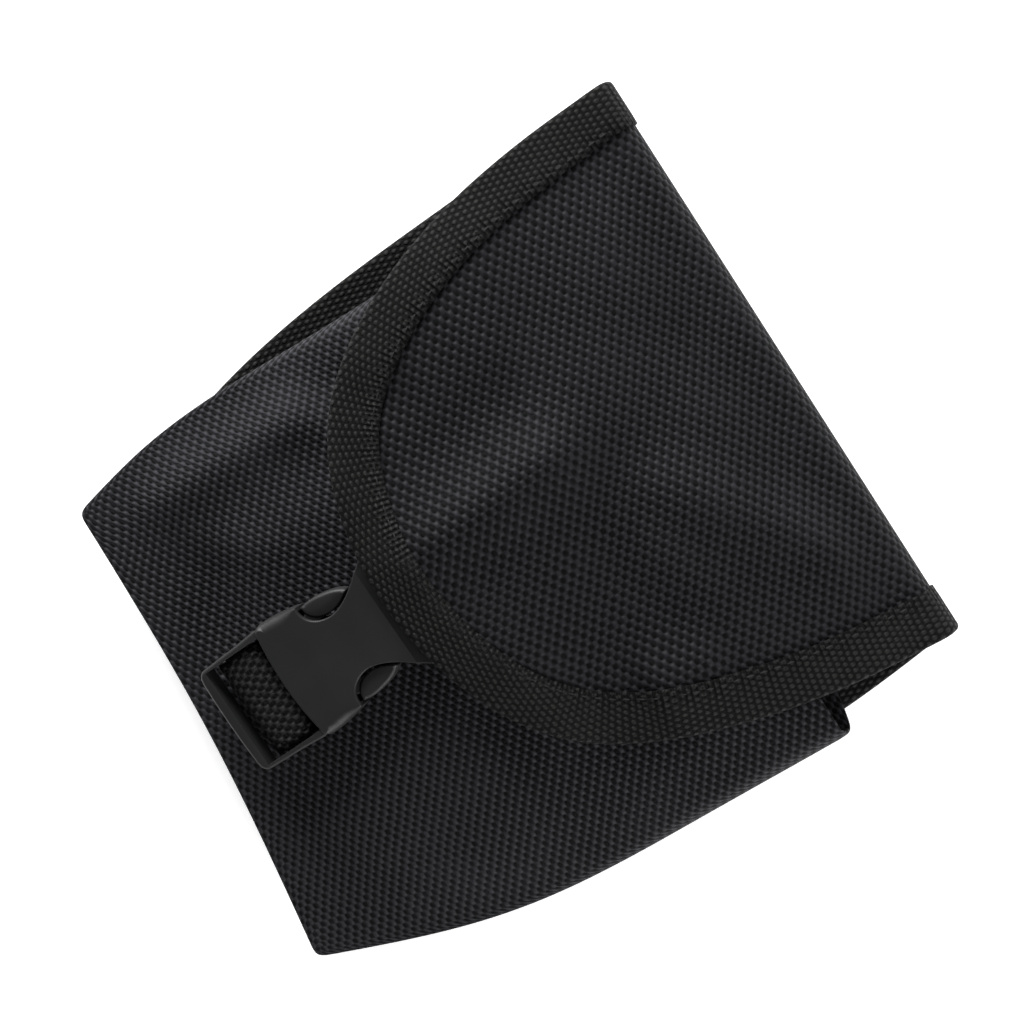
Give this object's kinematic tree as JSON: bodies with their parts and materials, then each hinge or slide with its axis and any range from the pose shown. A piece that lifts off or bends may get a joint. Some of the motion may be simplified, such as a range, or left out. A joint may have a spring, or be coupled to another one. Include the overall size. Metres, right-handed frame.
{
  "type": "dive weight pocket",
  "caption": "Black nylon pouch for a dive weight, with a bound flap, a side-release buckle and webbing loops on its back for a weight belt.",
  "frame": {"origin": "middle of the outline, on the outer faces of the belt loops that it lies on", "axes": "+X across the pocket to the right seen from its front, +Y from its bottom to the fold of the flap, +Z out of its front"},
  "size_m": [0.1742, 0.1784, 0.0451],
  "materials": {
    "cloth": "coated black nylon with a coarse basket weave, dull sheen",
    "tape": "black grosgrain binding tape, matt",
    "webbing": "black coarse polypropylene webbing",
    "belt_webbing": "black nylon webbing, tight ribbed weave",
    "thread": "black bonded thread",
    "buckle": "black moulded acetal, smooth matt",
    "metal": "black coated brass, satin"
  },
  "bodies": {
    "root": {"back_panel": "cloth", "back_binding": "tape", "back_binding_stitching": "thread", "pocket_front": "cloth", "belt_loop_left": "belt_webbing", "belt_loop_right": "belt_webbing", "belt_loop_stitching": "thread", "drain_eyelet": "metal", "drain_washer": "metal", "front_strap": "webbing", "front_strap_stitching": "thread"},
    "flap": {"flap_panel": "cloth", "flap_binding": "tape", "flap_binding_stitching": "thread", "flap_strap": "webbing", "flap_strap_stitching": "thread", "buckle_housing": "buckle"},
    "buckle_male": {"buckle_frame": "buckle"},
    "prong_left": {"buckle_prong_left": "buckle"},
    "prong_right": {"buckle_prong_right": "buckle"}
  },
  "joints": [
    {"name": "flap_fold", "type": "hinge", "parent": "root", "child": "flap", "pos_m": [-0.00552, 0.08911, 0.0156], "axis": [-1, 0, 0], "range_deg": [0, 150]},
    {"name": "buckle_release", "type": "slide", "parent": "root", "child": "buckle_male", "axis": [0.0339, -0.9697, -0.2419], "range_m": [0, 0.026], "deforming": ["front_strap", "buckle_prong_left", "buckle_prong_right"]},
    {"name": "prong_left_squeeze", "type": "hinge", "parent": "buckle_male", "child": "prong_left", "pos_m": [-0.00989, -0.05794, 0.03018], "axis": [-0.0084, 0.2418, -0.9703], "range_deg": [0, 6], "stiffness_Nm_per_rad": 0.3},
    {"name": "prong_right_squeeze", "type": "hinge", "parent": "buckle_male", "child": "prong_right", "pos_m": [0.0047, -0.05743, 0.03018], "axis": [0.0084, -0.2418, 0.9703], "range_deg": [0, 6], "stiffness_Nm_per_rad": 0.3}
  ]
}
